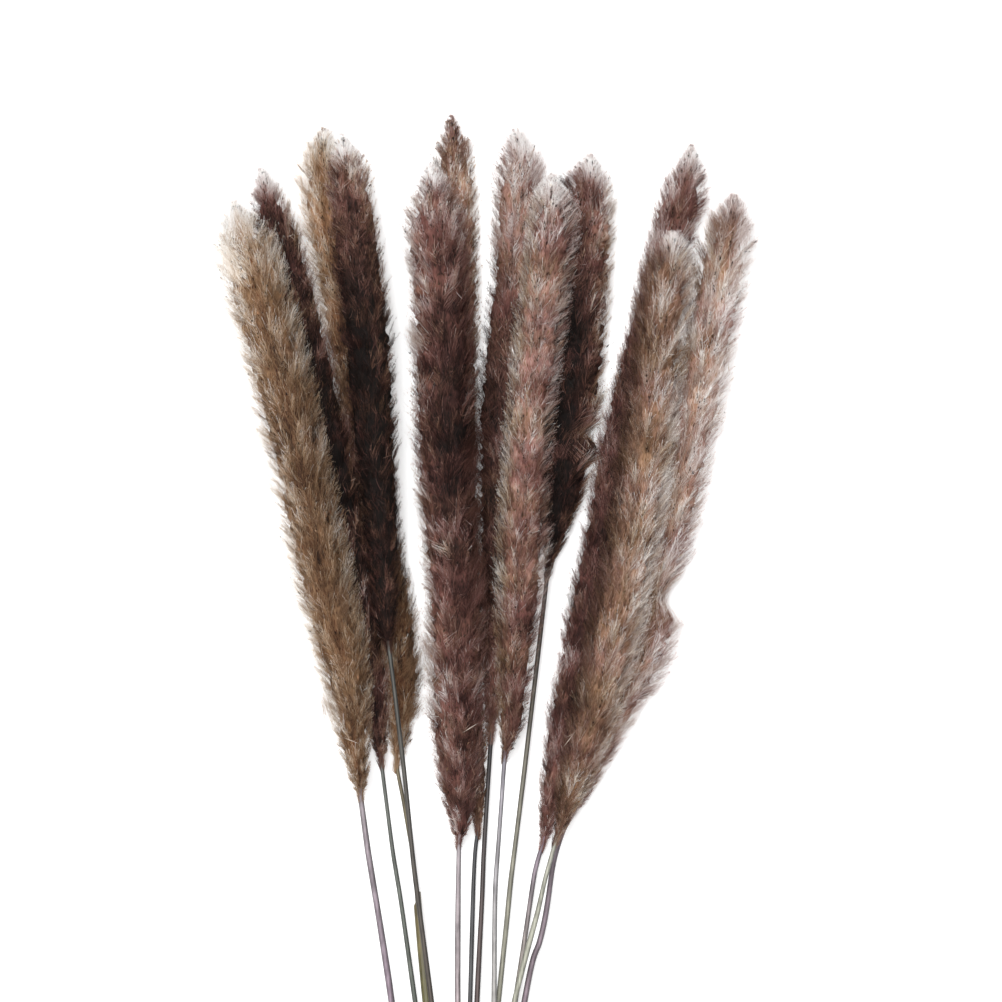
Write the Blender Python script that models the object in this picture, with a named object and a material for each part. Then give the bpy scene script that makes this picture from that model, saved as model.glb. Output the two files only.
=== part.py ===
"""A bunch of twelve dried reed plumes lying on a flat surface.

Metres, +Z up. The plumes point along +Y and the cut ends of the stems along -Y. The origin is under
the middle of the bunch, on the surface. Each reed has a stem and a fluffy plume, and one stem has a
leaf sheath. A plume is one closed body of overlapping locks.
"""
import math
import random

import bmesh
import bpy
from mathutils import Vector

# Size of the real bunch
MM = 0.001
PIXEL = 0.46 * MM
PLUME_FLATNESS = 0.8
SURFACE_GAP = 0.0003

# Locks of a plume
LOCK_ROW_SPACING = 16 * MM
LOCK_COLUMNS = 10
VALLEY_REACH = 0.78
BELLY_REACH = 0.94
BELLY_SHIFT = -0.1
TIP_LEAN = 1.05
TIP_REACH_SPREAD = 0.07
TIP_LEAN_SPREAD = 0.25
BASE_RADIUS = 1.0 * MM
TIP_CAP = 3.5 * MM

# Stems
STEM_SIDES = 8
STEM_RINGS = 9
SHEATH_SIDES = 10
SHEATH_WALL = 0.6 * MM
SHEATH_CLEARANCE = 0.3 * MM

PLUME_MATERIALS = {
    "golden": (0.36, 0.27, 0.19),
    "mauve": (0.26, 0.17, 0.15),
    "dark": (0.10, 0.065, 0.055),
    "pale": (0.46, 0.36, 0.32),
}
STEM_COLOUR = (0.19, 0.16, 0.16)
SHEATH_COLOUR = (0.27, 0.26, 0.13)

# Each plume is given from its tip to its base, as x, y and half width in pixels of the photograph,
# which looks straight down on the bunch. Heights over the surface are in millimetres, for the tip,
# the middle and the base of the plume. Each stem is given from the plume to the cut end.
REEDS = [
    dict(
        name="01",
        colour="golden",
        plume=[(237, 204, 8), (239, 222, 19), (245, 246, 26), (262, 300, 31), (287, 400, 30),
               (305, 480, 28), (325, 580, 28), (347, 670, 25), (355, 740, 15), (361, 796, 2)],
        plume_heights=(41, 39, 25),
        stem=[(368, 850), (376, 900), (391, 1000), (417, 1200)],
        cut_height=5.0,
        stem_width=(2.6, 3.2),
    ),
    dict(
        name="02",
        colour="mauve",
        plume=[(261, 168, 7), (267, 200, 18), (280, 240, 20), (300, 320, 22), (318, 400, 24),
               (338, 490, 25), (356, 590, 24), (371, 680, 18), (378, 735, 9), (381, 762, 2)],
        plume_heights=(21, 21.5, 14),
        stem=[(392, 850), (400, 900), (414, 1000), (441, 1195)],
        cut_height=1.4,
        stem_width=(1.8, 2.4),
    ),
    dict(
        name="03",
        colour="golden",
        plume=[(324, 127, 11), (323, 148, 21), (324, 195, 25), (335, 270, 23), (347, 345, 22),
               (360, 430, 22), (376, 530, 22), (394, 610, 21), (400, 680, 20), (398, 732, 12),
               (396, 765, 2)],
        plume_heights=(7, 8.5, 6),
        stem=[(411, 850), (416.5, 900), (425.5, 1000), (448, 1205)],
        cut_height=4.8,
        stem_width=(1.8, 2.2),
    ),
    dict(
        name="04",
        colour="dark",
        plume=[(342, 135, 6), (347, 165, 17), (353, 210, 21), (362, 290, 24), (370, 360, 25),
               (374, 430, 23), (380, 500, 20), (383, 560, 17), (385, 610, 12), (389, 645, 2)],
        plume_heights=(30, 31, 26),
        stem=[(403, 760), (412, 850), (418, 900), (431, 1000), (455, 1190)],
        cut_height=8.5,
        stem_width=(2.0, 2.5),
    ),
    dict(
        name="05",
        colour="mauve",
        plume=[(450, 113, 8), (453, 135, 15), (454, 165, 17), (456, 200, 20), (458, 300, 21),
               (458, 400, 19), (459, 480, 19), (463, 580, 19), (467, 670, 17), (473, 750, 13),
               (477, 800, 8), (478, 832, 2)],
        plume_heights=(8, 8, 6),
        stem=[(474, 870), (470, 1000), (464, 1210)],
        cut_height=1.5,
        stem_width=(1.8, 2.4),
    ),
    dict(
        name="06",
        colour="mauve",
        plume=[(430, 165, 6), (432, 185, 15), (435, 215, 24), (440, 270, 29), (443, 350, 29),
               (446, 450, 29), (449, 520, 28), (457, 600, 27), (457, 670, 29), (458, 730, 26),
               (460, 780, 20), (460, 815, 12), (459, 842, 2)],
        plume_heights=(25, 26.5, 18),
        stem=[(458, 900), (457.5, 1000), (458, 1195)],
        cut_height=4.8,
        stem_width=(2.2, 3.0),
    ),
    dict(
        name="07",
        colour="pale",
        plume=[(514, 127, 8), (519, 150, 20), (519, 190, 22), (516, 250, 24), (512, 320, 24),
               (506, 400, 24), (504, 480, 22), (501, 560, 19), (498, 630, 16), (494, 690, 10),
               (491, 738, 2)],
        plume_heights=(9, 9.5, 7),
        stem=[(484, 850), (482, 900), (477, 1000), (468, 1200)],
        cut_height=4.9,
        stem_width=(2.0, 2.6),
    ),
    dict(
        name="08",
        colour="pale",
        plume=[(551, 174, 8), (551, 198, 17), (548, 235, 22), (541, 300, 22), (533, 360, 22),
               (527, 420, 21), (522, 500, 21), (519, 580, 22), (515, 640, 18), (512, 700, 14),
               (508, 735, 8), (505, 755, 2)],
        plume_heights=(26, 27, 19),
        stem=[(498, 850), (495, 900), (494, 1000), (492, 1205)],
        cut_height=5.2,
        stem_width=(1.9, 2.6),
    ),
    dict(
        name="09",
        colour="dark",
        plume=[(590, 153, 8), (590, 175, 18), (589, 205, 25), (584, 280, 28), (578, 350, 28),
               (573, 410, 29), (566, 465, 25), (560, 510, 17), (553, 545, 9), (548, 573, 2)],
        plume_heights=(10, 10.5, 9),
        stem=[(540, 640), (526, 760), (515, 850), (509, 900), (499, 1000), (476, 1195)],
        cut_height=1.6,
        stem_width=(2.0, 2.6),
    ),
    dict(
        name="10",
        colour="mauve",
        plume=[(691, 143, 8), (690, 163, 18), (683, 195, 24), (671, 235, 24), (659, 290, 25),
               (644, 350, 25), (630, 410, 25), (619, 470, 25), (607, 540, 25), (592, 610, 25),
               (580, 670, 25), (567, 735, 22), (556, 790, 14), (548, 822, 8), (543, 846, 2)],
        plume_heights=(9, 10, 7),
        stem=[(536, 870), (531, 900), (516, 1000), (484, 1200)],
        cut_height=1.5,
        stem_width=(2.0, 2.6),
    ),
    dict(
        name="11",
        colour="golden",
        plume=[(671, 234, 11), (670, 255, 20), (665, 290, 25), (657, 350, 26), (649, 420, 26),
               (640, 490, 26), (629, 560, 26), (614, 630, 26), (597, 700, 24), (580, 760, 18),
               (566, 805, 10), (556, 840, 2)],
        plume_heights=(28, 30, 21),
        stem=[(545, 880), (537, 915), (515, 1000), (472, 1190)],
        cut_height=8.6,
        stem_width=(2.0, 2.8),
    ),
    dict(
        name="12",
        colour="pale",
        plume=[(735, 194, 8), (732, 218, 19), (727, 250, 24), (716, 300, 28), (706, 350, 30),
               (697, 400, 29), (684, 460, 29), (671, 520, 29), (658, 580, 27), (646, 640, 27),
               (626, 690, 22), (608, 732, 16), (589, 778, 10), (573, 814, 2)],
        plume_heights=(11, 12.5, 10),
        stem=[(557, 850), (547, 910), (541, 940), (525, 1000), (492, 1205)],
        cut_height=1.7,
        stem_width=(2.2, 3.0),
    ),
]

# The leaf sheath on the third stem, between two distances down the photograph
SHEATH_REED = "03"
SHEATH_TOP = 908
SHEATH_BOTTOM = 1120
SHEATH_POINT = 14


def clear_objects():
    for item in list(bpy.data.objects):
        bpy.data.objects.remove(item)


def material(name, colour, roughness):
    made = bpy.data.materials.new(name)
    made.use_nodes = True
    shader = made.node_tree.nodes["Principled BSDF"]
    shader.inputs["Base Color"].default_value = (*colour, 1.0)
    shader.inputs["Roughness"].default_value = roughness
    made.diffuse_color = (*colour, 1.0)
    return made


def add_object(name, mesh_builder, slot, smooth):
    mesh = bpy.data.meshes.new(name)
    bmesh.ops.recalc_face_normals(mesh_builder, faces=mesh_builder.faces)
    mesh_builder.to_mesh(mesh)
    mesh_builder.free()
    for face in mesh.polygons:
        face.use_smooth = smooth
    mesh.materials.append(slot)
    made = bpy.data.objects.new(name, mesh)
    bpy.context.scene.collection.objects.link(made)
    return made


def spline(points, amount):
    """A smooth value along a list of equally long tuples, for an amount from 0 to 1."""
    place = amount * (len(points) - 1)
    index = min(int(place), len(points) - 2)
    f = place - index
    before = points[max(index - 1, 0)]
    start = points[index]
    end = points[index + 1]
    after = points[min(index + 2, len(points) - 1)]
    value = []
    for a, b, c, d in zip(before, start, end, after):
        value.append(0.5 * (2 * b + (c - a) * f + (2 * a - 5 * b + 4 * c - d) * f * f
                            + (3 * b - a - 3 * c + d) * f ** 3))
    return value


def height_between(heights, amount):
    """The height over the surface for an amount from 0 at the tip to 1 at the base."""
    tip, middle, base = heights
    return (tip * 2 * (amount - 0.5) * (amount - 1) + middle * 4 * amount * (1 - amount)
            + base * 2 * amount * (amount - 0.5)) * MM


def plume_line(reed, steps):
    """Evenly spaced centres and half widths of a plume, from its base to a little under its tip."""
    fine = 400
    samples = [spline(reed["plume"], k / fine) for k in range(fine + 1)]
    travel = [0.0]
    for one, two in zip(samples, samples[1:]):
        travel.append(travel[-1] + math.hypot(two[0] - one[0], two[1] - one[1]))
    cap = TIP_CAP / PIXEL
    rings = []
    for k in range(steps + 1):
        wanted = cap + (travel[-1] - cap) * (1 - k / steps)
        nearest = min(range(fine + 1), key=lambda s: abs(travel[s] - wanted))
        x, y, half_width = samples[nearest]
        radius = max(half_width * PIXEL, BASE_RADIUS)
        level = height_between(reed["plume_heights"], wanted / travel[-1])
        level = max(level, radius * PLUME_FLATNESS)
        rings.append((Vector((x * PIXEL, -y * PIXEL, level)), radius))
    return rings


def plume_length(reed):
    tip = reed["plume"][0]
    base = reed["plume"][-1]
    return math.hypot(tip[0] - base[0], tip[1] - base[1]) * PIXEL


def ring_frame(centres, index):
    """The forward, sideways and upward directions at a ring."""
    ahead = centres[min(index + 1, len(centres) - 1)]
    behind = centres[max(index - 1, 0)]
    forward = (ahead - behind).normalized()
    sideways = forward.cross(Vector((0, 0, 1))).normalized()
    upward = sideways.cross(forward).normalized()
    return forward, sideways, upward


def build_plume(reed, slot):
    """One closed body of overlapping locks, each a leaning, pointed scale between four low corners."""
    chance = random.Random(int(reed["name"]))
    rows = max(9, round(plume_length(reed) / LOCK_ROW_SPACING))
    rings = plume_line(reed, rows)
    centres = [centre for centre, radius in rings]
    spacing = plume_length(reed) / rows
    turn = chance.uniform(0, 2 * math.pi)
    shape = bmesh.new()

    def point(row, column, reach, lean):
        centre, radius = rings[row]
        forward, sideways, upward = ring_frame(centres, row)
        angle = turn + 2 * math.pi * column / LOCK_COLUMNS
        out = (sideways * math.cos(angle) + upward * math.sin(angle) * PLUME_FLATNESS) * radius * reach
        place = centre + out + forward * lean * spacing
        place.z = max(place.z, 0.0)
        return shape.verts.new(place)

    valleys = {}
    for row in range(rows + 1):
        for column in range(LOCK_COLUMNS):
            if (row + column) % 2 == 1:
                reach = VALLEY_REACH + chance.uniform(-0.03, 0.03)
                valleys[row, column] = point(row, column, reach, 0.0)

    def valley(row, column):
        return valleys[row, column % LOCK_COLUMNS]

    for row in range(1, rows):
        for column in range(LOCK_COLUMNS):
            if (row + column) % 2 == 1:
                continue
            back = valley(row - 1, column)
            front = valley(row + 1, column)
            left = valley(row, column - 1)
            right = valley(row, column + 1)
            nearing_end = min(1.0, (rows - row) / 2, row / 2)
            reach = 1.0 - chance.uniform(0.0, TIP_REACH_SPREAD)
            lean = (TIP_LEAN - chance.uniform(0.0, TIP_LEAN_SPREAD)) * nearing_end
            belly = point(row, column, BELLY_REACH * reach, BELLY_SHIFT)
            tip = point(row, column, reach, lean)
            for corners in ((back, right, belly), (left, back, belly), (right, tip, belly),
                            (belly, tip, left), (right, front, tip), (front, left, tip)):
                shape.faces.new(corners)

    base_centre = shape.verts.new(centres[0])
    end_centre = shape.verts.new(centres[-1] + ring_frame(centres, rows)[0] * TIP_CAP)
    for column in range(LOCK_COLUMNS):
        if column % 2 == 0:
            shape.faces.new((valley(0, column - 1), valley(0, column + 1), valley(1, column)))
            shape.faces.new((valley(0, column + 1), valley(0, column - 1), base_centre))
        if (rows + column) % 2 == 0:
            shape.faces.new((valley(rows, column + 1), valley(rows, column - 1), valley(rows - 1, column)))
            shape.faces.new((valley(rows, column - 1), valley(rows, column + 1), end_centre))
    return add_object("plume_" + reed["name"], shape, slot, smooth=False)


def stem_line(reed):
    """Centres of a stem as x, y and z in metres, from just under the plume to the cut end."""
    base = reed["plume"][-1]
    points = [(base[0], base[1])] + reed["stem"]
    first_y = points[0][1]
    last_y = points[-1][1]
    base_height = reed["plume_heights"][-1] * MM
    cut_height = reed["cut_height"] * MM
    line = []
    for x, y in points:
        share = (y - first_y) / (last_y - first_y)
        level = base_height + (cut_height - base_height) * share
        line.append((x * PIXEL, -y * PIXEL, level))
    start = Vector(line[0])
    toward = (Vector(line[1]) - start).normalized()
    line[0] = tuple(start + toward * SURFACE_GAP)
    return line


def tube_ring(shape, centre, forward, radius, sides):
    sideways = forward.cross(Vector((0, 0, 1))).normalized()
    upward = sideways.cross(forward).normalized()
    ring = []
    for k in range(sides):
        angle = 2 * math.pi * k / sides
        ring.append(shape.verts.new(centre + (sideways * math.cos(angle) + upward * math.sin(angle)) * radius))
    return ring


def join_rings(shape, one, two):
    for k in range(len(one)):
        after = (k + 1) % len(one)
        shape.faces.new((one[k], one[after], two[after], two[k]))


def direction_at(line, amount):
    step = 0.01
    one = Vector(spline(line, max(amount - step, 0.0)))
    two = Vector(spline(line, min(amount + step, 1.0)))
    return (two - one).normalized()


def stem_radius(reed, amount):
    narrow, wide = reed["stem_width"]
    return (narrow + (wide - narrow) * amount) / 2 * MM


def build_stem(reed, slot):
    line = stem_line(reed)
    shape = bmesh.new()
    rings = []
    for k in range(STEM_RINGS):
        amount = k / (STEM_RINGS - 1)
        centre = Vector(spline(line, amount))
        rings.append(tube_ring(shape, centre, direction_at(line, amount), stem_radius(reed, amount), STEM_SIDES))
    for one, two in zip(rings, rings[1:]):
        join_rings(shape, one, two)
    shape.faces.new(rings[0])
    shape.faces.new(rings[-1])
    return add_object("stem_" + reed["name"], shape, slot, smooth=True)


def amount_at(line, photo_y):
    """How far down a stem line a distance down the photograph lies."""
    steps = 400
    return min(range(steps + 1), key=lambda k: abs(spline(line, k / steps)[1] + photo_y * PIXEL)) / steps


def build_sheath(reed, slot):
    """A thin leaf wrapped round the stem, longer on one side so that it ends in a point."""
    line = stem_line(reed)
    top = amount_at(line, SHEATH_TOP)
    bottom = amount_at(line, SHEATH_BOTTOM)
    shape = bmesh.new()
    inner = []
    outer = []
    rings = 6
    for k in range(rings):
        amount = top + (bottom - top) * k / (rings - 1)
        centre = Vector(spline(line, amount))
        forward = direction_at(line, amount)
        inside = stem_radius(reed, amount) + SHEATH_CLEARANCE
        inner.append(tube_ring(shape, centre, forward, inside, SHEATH_SIDES))
        outer.append(tube_ring(shape, centre, forward, inside + SHEATH_WALL, SHEATH_SIDES))
        if k == 0:
            for ring in (inner[0], outer[0]):
                for j, corner in enumerate(ring):
                    rise = (1 - math.cos(2 * math.pi * j / SHEATH_SIDES)) / 2
                    corner.co -= forward * SHEATH_POINT * PIXEL * rise
    for one, two in zip(inner, inner[1:]):
        join_rings(shape, one, two)
    for one, two in zip(outer, outer[1:]):
        join_rings(shape, one, two)
    join_rings(shape, inner[0], outer[0])
    join_rings(shape, inner[-1], outer[-1])
    return add_object("sheath_" + reed["name"], shape, slot, smooth=True)


def set_origin_under_middle(objects):
    """Move every mesh so that the origin is under the middle of the bunch, at its lowest point."""
    places = [corner.co for item in objects for corner in item.data.vertices]
    low = Vector([min(place[axis] for place in places) for axis in range(3)])
    high = Vector([max(place[axis] for place in places) for axis in range(3)])
    shift = Vector((-(low.x + high.x) / 2, -(low.y + high.y) / 2, -low.z))
    for item in objects:
        for corner in item.data.vertices:
            corner.co += shift


def main():
    clear_objects()
    plume_slots = {name: material("plume_" + name, colour, 0.9) for name, colour in PLUME_MATERIALS.items()}
    stem_slot = material("stem", STEM_COLOUR, 0.6)
    sheath_slot = material("sheath", SHEATH_COLOUR, 0.6)
    objects = []
    for reed in REEDS:
        objects.append(build_plume(reed, plume_slots[reed["colour"]]))
        objects.append(build_stem(reed, stem_slot))
        if reed["name"] == SHEATH_REED:
            objects.append(build_sheath(reed, sheath_slot))
    set_origin_under_middle(objects)


main()
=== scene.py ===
"""The looks of a bunch of dried reeds that lies on a pale floor.

Metres, +Z up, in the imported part's own frame: +Y is up in the photograph and +X is right in it. Each plume
is a streaky pelt round a thin stalk, with hairs, husks and seeds that fill the reach of its solid.
"""
import math

import bpy
import numpy as np
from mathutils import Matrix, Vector


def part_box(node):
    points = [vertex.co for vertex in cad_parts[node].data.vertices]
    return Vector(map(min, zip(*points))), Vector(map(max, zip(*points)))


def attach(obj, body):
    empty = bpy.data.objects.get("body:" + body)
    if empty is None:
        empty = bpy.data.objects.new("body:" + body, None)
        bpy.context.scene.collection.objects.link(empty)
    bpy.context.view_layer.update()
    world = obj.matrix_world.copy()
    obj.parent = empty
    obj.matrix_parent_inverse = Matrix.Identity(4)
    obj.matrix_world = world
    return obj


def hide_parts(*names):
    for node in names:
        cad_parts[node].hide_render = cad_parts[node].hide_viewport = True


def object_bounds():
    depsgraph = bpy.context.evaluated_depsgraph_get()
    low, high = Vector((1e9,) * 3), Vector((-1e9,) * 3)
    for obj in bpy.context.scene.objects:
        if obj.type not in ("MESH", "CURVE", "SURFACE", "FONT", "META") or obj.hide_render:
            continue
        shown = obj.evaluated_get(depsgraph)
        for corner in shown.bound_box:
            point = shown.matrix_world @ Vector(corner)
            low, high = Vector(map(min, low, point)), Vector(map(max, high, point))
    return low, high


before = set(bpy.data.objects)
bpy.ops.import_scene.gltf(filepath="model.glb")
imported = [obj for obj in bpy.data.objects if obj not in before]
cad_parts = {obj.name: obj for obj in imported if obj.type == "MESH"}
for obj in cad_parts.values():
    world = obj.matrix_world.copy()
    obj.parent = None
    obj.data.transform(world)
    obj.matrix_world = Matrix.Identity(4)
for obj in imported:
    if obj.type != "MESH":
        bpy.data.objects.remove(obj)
cad_low, cad_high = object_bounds()

MM = 0.001
BODY = "root"

# The photograph, which looks straight down: the size of its pixels on the bunch, and its middle, measured
# from the left and the top of the bunch's box
PHOTO_PIXELS = 1002
PIXEL = 0.46 * MM
PHOTO_MIDDLE_X = cad_low.x + 130.66 * MM
PHOTO_MIDDLE_Y = cad_high.y - 178.42 * MM

# Camera
LENS_MM = 180.0
SENSOR_MM = 36.0
AIM_HEIGHT = 20 * MM
CLIP_END = 100.0

# Light and floor, with the lamp's place from the middle of the picture
KEY_PLACE = (-0.35, 0.35, 2.6)
KEY_ENERGY = 85.0
KEY_SIZE = 1.0
SKY_STRENGTH = 0.5
FLOOR_HALF = 12.0
WHITE = (1.0, 1.0, 1.0, 1.0)

# Surfaces
HAIR_SURFACE = {"Roughness": 0.6, "Specular IOR Level": 0.25}
PELT_SURFACE = {"Roughness": 0.8, "Specular IOR Level": 0.15}
FLOOR_SURFACE = {"Base Color": (0.7, 0.7, 0.7, 1.0), "Roughness": 0.9, "Emission Color": WHITE,
                 "Emission Strength": 0.5}

# Measuring the solids: a plume's thickness for its width, its stations and how far they look for corners, how
# far flat locks fall short of the hair, and how much of its reach the base keeps
FLATNESS = 0.8
STATIONS = 33
WIDEST_WINDOW = 10 * MM
END_WINDOW = 3 * MM
WINDOW_GROWTH = 0.8
WINDOW_FADE = 1.4
LOCK_SHORTFALL = 1.15
BASE_TAPER = 0.4
EVENING_OUT = (0.25, 0.5, 0.25)

# Where hair ends: how far past its plume's tip, how round that end is, and how much of what would stand over
# the top of the whole bunch is pressed down
BEYOND_TIP = 3.0 * MM
TIP_ROUNDING = 4 * MM
PRESSED_ON_TOP = 0.7
LOWEST_HAIR = 0.1 * MM
SHORTEST_LEFT = 0.15
HAIR_UNEVENNESS = 5 * MM

# How lightness and hue change over a plume
WAVES = 7
WAVE_LENGTHS = (14, 60)
WAVE_TURNS = (-2, 3)
OUTSIDE_FROM = 0.4
EDGE = 0.9
BASE_STRETCH = 0.35
SIDES_AT_BASE = 0.4
SPINE_WIDTH = 0.17
TIP_FADE = 16 * MM
SPINE_GOLDEN = 0.6
TIP_MAUVE = 0.25
PATCHY_HUE = 0.06

# The body of a plume under its halo, which comes down to a blunt point
BODY_POINT = 18 * MM
BLUNT_END = 0.15
POINT_CURVE = 0.8

# Branches: how they are spaced and gathered, their angles to the stalk in degrees, how far out they and their
# hairs go for the plume's reach, and how much they vary
BRANCH_SPACING = 0.25 * MM
GOLDEN_ANGLE = math.pi * (3 - math.sqrt(5))
SPIRAL_ARMS = 13
BRANCHES_IN_TUFT = 3
BRANCH_TURN = 0.3
FIRST_BRANCH = 0.01
BRANCH_SCATTER = 1.5 * MM
BRANCH_ANGLES = (24, 38)
BRANCH_CURVE = 1.15
BRANCH_REACH = 0.72
BRANCH_REACH_MORE = 0.25
HAIR_REACH = 1.08
HAIR_REACH_MORE = 0.05
SPIKY_SHORTER = 0.16
START_AT_LEAST = 0.3
BRANCH_TONES = 0.05
TUFT_TONES = 0.11
BRANCH_HUES = 0.07

# Hairs of the body and of the halo: where they stand on a branch, from 0 at the stalk to 1 at its end, their
# lengths in millimetres, how much they gather to tufts and get whiter to the plume's tip, and for single ones
# the tones of root and tip, the darker root partly its own tone and partly painted shade, and how much both
# vary
TRIANGLES_IN_ALL = 940_000
BODY_HAIRS = dict(on_branch=(0.55, 1.15), lengths=(3.5, 8.0), width=0.15 * MM, gather=1.0, whiter=0.3,
                  tones=(-0.05, 0.05, 0.07))
HALO_HAIRS = dict(on_branch=(0.7, 1.2), lengths=(6.0, 12.0), width=0.10 * MM, gather=0.5, whiter=0.8,
                  tones=(-0.05, 0.03, 0.08))
HALO_SHARE = 0.06
HALO_SHARE_OF_FUZZ = 1.4
HAIR_SCATTER = 0.3 * MM
LOOSE_HAIRS = 0.35
LOOSE_ANGLE = 52
HAIR_ANGLE = 36
HAIR_ANGLE_LESS = 14
USUAL_REACH = 12 * MM
HAIR_SIZES = (0.5, 1.1)
HAIR_WIDTHS = (0.7, 1.4)
BODY_WIDER = 1.9
FUZZ_NARROWER = 3.8
ODD_HAIRS = 0.08
ODD_TONE = 0.12
HAIR_TONES = 0.09
HAIR_HUES = 0.05
SINGLE_HUES = 0.08
# How much darker a root is: partly its own tone and partly painted shade among the hairs
ROOT_TONE_AND_SHADE = 0.10
TIP_LIGHTER = 0.06
FACE_TURN = 0.35
SEE_THROUGH = 0.25

# Haze at the tip, hairs at the base, pale strays, husks and seeds: angles in degrees, places along the plume,
# radii and lengths in millimetres, limits for the plume's reach, and widths of husks and seeds for the length
HAZE = dict(count=5200, stretch=22 * MM, radii=(0.1, 2.0), angles=(5, 44), lengths=(8, 15), unevenness=9 * MM)
BASE = dict(count=900, places=(-5, 9), radii=(0.2, 1.1), angles=(4, 26), lengths=(4, 9))
STRAYS = dict(count=160, on_branch=(0.8, 1.1), angles=(30, 75), lengths=(5, 9), limits=(0.9, 1.02),
              lighter=(0.15, 0.4), wider=(0.9, 1.6))
HUSKS = dict(on_branch=(0.5, 1.15), angles=(5, 35), lengths=(1.8, 3.8), limits=(0.85, 1.05),
             widths=(0.14, 0.24))
SEEDS = dict(count=600, on_branch=(0.8, 1.15), angles=(0, 30), lengths=(1.0, 2.0), limit=0.98, width=0.45,
             shades=(0.02, 0.16), hues=(0.1, 0.6))
FACES_CAMERA = 0.94
KITE_WIDEST = 0.45

# The matted pelt inside the hairs, darker than them by painted shade
PELT_REACH = 0.92
PELT_RINGS = 130
PELT_COLUMNS = 18
PELT_UNEVENNESS = 0.28
PELT_ROUND_BASE = 10 * MM
PELT_PAINTED_SHADE = 0.12

# Stalks: their corners round, how finely they are stepped, and the thickening at a joint of the grass
STALK_SIDES = 12
STALK_STEP = 2.5 * MM
STALK_CHANCE = 100
RING_GAP = 1.5 * MM
INSIDE_PLUME = (0.03, 0.96)
INSIDE_POINTS = 12
THINNEST = 0.25 * MM
JOINT_PLACES = (20, 75)
JOINT_LENGTH = 1.6 * MM
JOINT_THICKER = 0.22

# How each plume looks, with left and right as in the photograph:
# light   how light its inside is from its base to its tip: 0 nearly black, 1 nearly white
# sides   how much lighter its outside is at the left, towards the camera and at the right: partly its pale
#         fringe of hair and partly painted light and painted shade on one side
# hues    at the left, inside and at the right: 0 mauve, 0.5 golden beige, 1 rust
# tip     how much lighter the outside of its tip is
# spine   how much darker and more golden the line along its middle is
# fuzz    how much of its reach is only a halo of fine hair
# spiky   from 0 for an even outline to 1 for pointed tufts
# patchy  how much its lightness swings along it
# husks   how many of its triangles are brown husks
LIGHT_PLACES = (0.0, 0.3, 0.6, 0.87, 1.0)
PLUMES = {
    "01": dict(light=(0.49, 0.48, 0.36, 0.54, 0.66), sides=(0.6, 0.2, 0.24), hues=(0.56, 0.5, 0.5),
               tip=0.5, spine=0.18, fuzz=0.24, spiky=0.3, patchy=0.04, husks=0.015),
    "02": dict(light=(0.36, 0.11, 0.0, 0.21, 0.56), sides=(0.1, 0.04, 0.52), hues=(0.02, 0.04, 0.3),
               tip=0.55, spine=0.04, fuzz=0.15, spiky=0.6, patchy=0.04, husks=0.012),
    "03": dict(light=(0.56, 0.35, 0.36, 0.56, 0.66), sides=(0.42, 0.16, 0.1), hues=(0.75, 0.58, 0.48),
               tip=0.42, spine=0.14, fuzz=0.22, spiky=0.4, patchy=0.04, husks=0.015),
    "04": dict(light=(0.22, 0.04, 0.05, 0.41, 0.72), sides=(0.1, 0.06, 0.24), hues=(0.08, 0.1, 0.34),
               tip=0.56, spine=0.02, fuzz=0.12, spiky=0.8, patchy=0.04, husks=0.012),
    "05": dict(light=(0.42, 0.4, 0.44, 0.61, 0.52), sides=(0.04, 0.08, 0.24), hues=(0.16, 0.22, 0.28),
               tip=0.1, spine=0.0, fuzz=0.1, spiky=0.8, patchy=0.06, husks=0.12),
    "06": dict(light=(0.4, 0.39, 0.13, 0.38, 0.68), sides=(0.58, 0.12, 0.1), hues=(0.16, 0.0, 0.06),
               tip=0.5, spine=0.05, fuzz=0.15, spiky=0.8, patchy=0.06, husks=0.012),
    "07": dict(light=(0.56, 0.25, 0.31, 0.69, 0.73), sides=(-0.14, 0.14, 0.16), hues=(0.16, 0.1, 0.0),
               tip=0.4, spine=0.05, fuzz=0.2, spiky=0.4, patchy=0.04, husks=0.012),
    "08": dict(light=(0.38, 0.5, 0.58, 0.58, 0.69), sides=(0.26, 0.18, 0.1), hues=(0.5, 0.04, 0.1),
               tip=0.42, spine=0.06, fuzz=0.2, spiky=0.4, patchy=0.05, husks=0.012),
    "09": dict(light=(0.07, 0.08, 0.14, 0.45, 0.64), sides=(-0.34, 0.12, 0.72), hues=(0.0, 0.04, 0.34),
               tip=0.5, spine=0.03, fuzz=0.13, spiky=0.8, patchy=0.05, husks=0.012),
    "10": dict(light=(0.5, 0.31, 0.25, 0.46, 0.56), sides=(0.3, 0.1, 0.24), hues=(0.04, 0.0, 0.02),
               tip=0.46, spine=0.1, fuzz=0.15, spiky=0.6, patchy=0.05, husks=0.012),
    "11": dict(light=(0.44, 0.6, 0.61, 0.51, 0.68), sides=(-0.3, 0.2, 0.3), hues=(0.26, 0.26, 0.34),
               tip=0.36, spine=0.14, fuzz=0.23, spiky=0.3, patchy=0.05, husks=0.015),
    "12": dict(light=(0.72, 0.56, 0.69, 0.71, 0.62), sides=(-0.04, 0.25, 0.26), hues=(0.36, 0.14, 0.0),
               tip=0.2, spine=0.2, fuzz=0.24, spiky=0.4, patchy=0.05, husks=0.015),
}

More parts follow.
